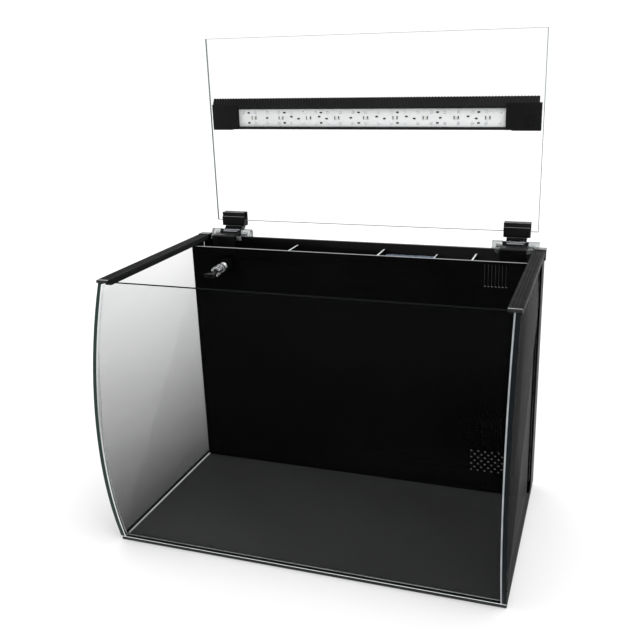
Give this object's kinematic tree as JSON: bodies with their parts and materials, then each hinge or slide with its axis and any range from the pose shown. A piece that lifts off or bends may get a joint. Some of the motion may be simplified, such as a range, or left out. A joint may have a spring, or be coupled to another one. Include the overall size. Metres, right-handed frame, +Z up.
{
  "type": "aquarium",
  "caption": "Rimless all-in-one aquarium with a bowed front pane, black rear filter compartment, top rails and a hinged glass lid carrying an LED bar.",
  "frame": {"origin": "centre of the base pane's underside", "axes": "+Z up; +Y to the back pane, with the bowed pane facing -Y; +X to the right seen from the front"},
  "size_m": [0.6064, 0.4228, 0.751],
  "materials": {
    "clear_glass": "clear polished float glass",
    "base_glass": "glass backed in charcoal",
    "black_glass": "black backed glass",
    "acrylic": "black cast acrylic",
    "silicone": "cured clear silicone",
    "film": "black film",
    "rail_plastic": "grooved black plastic",
    "gloss_cap": "glossy black plastic",
    "clear_plastic": "clear plastic",
    "hinge_plastic": "semi-gloss black plastic",
    "steel": "stainless steel",
    "pump_plastic": "black moulded plastic",
    "hose": "clear vinyl hose",
    "grey_plastic": "semi-gloss grey plastic",
    "sponge": "open-cell foam",
    "media": "mesh bag of filter granules",
    "light_housing": "black anodised extrusion",
    "light_board": "white solder mask"
  },
  "bodies": {
    "tank": {"front_glass": "clear_glass", "left_glass": "clear_glass", "right_glass": "clear_glass", "bottom_glass": "base_glass", "back_glass": "black_glass", "weir_panel": "acrylic", "divider_pump": "acrylic", "divider_heater": "acrylic", "divider_intake": "acrylic", "divider_short": "acrylic", "shelf_sponge": "acrylic", "shelf_media": "acrylic", "seam_base": "silicone", "seam_front_left": "silicone", "seam_front_right": "silicone", "film_left": "film", "film_right": "film", "rail_left": "rail_plastic", "rail_right": "rail_plastic", "rail_front_cap_left": "gloss_cap", "rail_front_cap_right": "gloss_cap", "rail_rear_cap_left": "gloss_cap", "rail_rear_cap_right": "gloss_cap", "hinge_liner_left": "clear_plastic", "hinge_liner_right": "clear_plastic", "hinge_cap_left_a": "clear_plastic", "hinge_cap_left_b": "clear_plastic", "hinge_cap_right_a": "clear_plastic", "hinge_cap_right_b": "clear_plastic", "hinge_saddle_left": "hinge_plastic", "hinge_saddle_right": "hinge_plastic", "hinge_thumbscrew_left": "hinge_plastic", "hinge_thumbscrew_right": "hinge_plastic", "hinge_pin_left": "steel", "hinge_pin_right": "steel", "pump_shaft": "steel", "pump_body": "pump_plastic", "pump_strainer": "pump_plastic", "nozzle_bulkhead": "pump_plastic", "nozzle_nut": "pump_plastic", "riser_hose": "hose", "sponge": "sponge", "media_bag": "media"},
    "lid": {"lid_glass": "clear_glass", "light_housing": "light_housing", "light_cap_left": "gloss_cap", "light_cap_right": "gloss_cap", "light_board": "light_board", "light_lens": "clear_plastic", "light_inlet": "pump_plastic", "hinge_arm_left": "hinge_plastic", "hinge_arm_right": "hinge_plastic", "hinge_jaw_left": "hinge_plastic", "hinge_jaw_right": "hinge_plastic", "hinge_screw_left": "steel", "hinge_screw_right": "steel"},
    "button": {"light_button": "gloss_cap"},
    "nozzle_link_body": {"nozzle_link": "grey_plastic"},
    "nozzle_fan_body": {"nozzle_fan": "grey_plastic"},
    "rotor": {"pump_rotor": "grey_plastic"}
  },
  "joints": [
    {"name": "lid_hinge", "type": "hinge", "parent": "tank", "child": "lid", "pos_m": [0, 0.193, 0.416], "axis": [1, 0, 0], "range_deg": [0, 91.4]},
    {"name": "nozzle_pan", "type": "hinge", "parent": "tank", "child": "nozzle_link_body", "pos_m": [-0.229, 0.1057, 0.3796], "axis": [0, 0, 1], "range_deg": [-15, 15]},
    {"name": "nozzle_tilt", "type": "hinge", "parent": "nozzle_link_body", "child": "nozzle_fan_body", "pos_m": [-0.23172, 0.08016, 0.37555], "axis": [1, 0, 0], "range_deg": [-15, 15]},
    {"name": "light_button_press", "type": "slide", "parent": "lid", "child": "button", "axis": [0, 1, 0], "range_m": [0, 0.001], "stiffness_N_per_m": 400},
    {"name": "pump_rotor_spin", "type": "hinge", "parent": "tank", "child": "rotor", "pos_m": [-0.178, 0.1385, 0.032], "axis": [1, 0, 0], "continuous": true}
  ]
}
